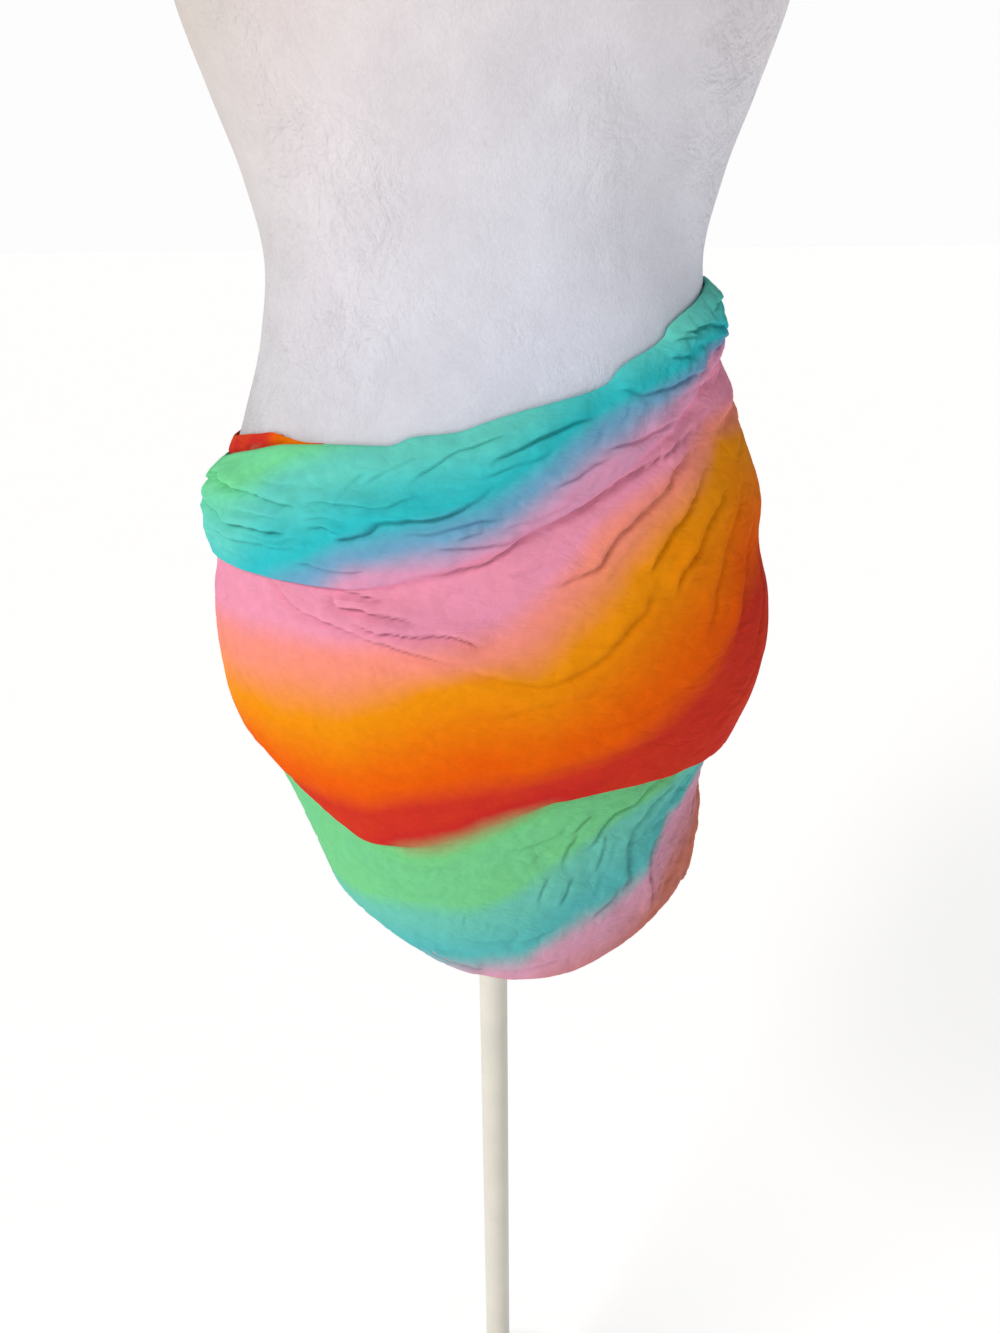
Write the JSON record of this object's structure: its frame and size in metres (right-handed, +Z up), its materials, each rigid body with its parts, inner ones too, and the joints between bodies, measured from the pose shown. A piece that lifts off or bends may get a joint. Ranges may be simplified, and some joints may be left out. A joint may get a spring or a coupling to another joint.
{
  "type": "sarong on a limbless dress form",
  "caption": "Wrapped, crinkled ombré sarong with a folded waist band and a side knot, on a limbless dress form with a round stand.",
  "frame": {"origin": "middle of the base's underside, on the floor", "axes": "+Z up along the pole, +X towards the hip with the knot, -Y towards the front"},
  "size_m": [0.3472, 0.2558, 1.5973],
  "materials": {
    "sarong_cloth": "light crinkled cotton dyed in soft bands of green, teal, pink, orange and red",
    "form_knit": "white, slightly fuzzy knit cover",
    "stand_enamel": "cream enamel, satin"
  },
  "bodies": {
    "root": {"wrap_hip": "sarong_cloth", "wrap_lower": "sarong_cloth", "waist_fold": "sarong_cloth", "inner_turn": "sarong_cloth", "hip_knot": "sarong_cloth", "tie_tail_front": "sarong_cloth", "tie_tail_back": "sarong_cloth", "form_torso": "form_knit", "form_neck_cap": "stand_enamel", "form_socket": "stand_enamel", "stand_pole": "stand_enamel", "stand_base": "stand_enamel"}
  },
  "joints": []
}
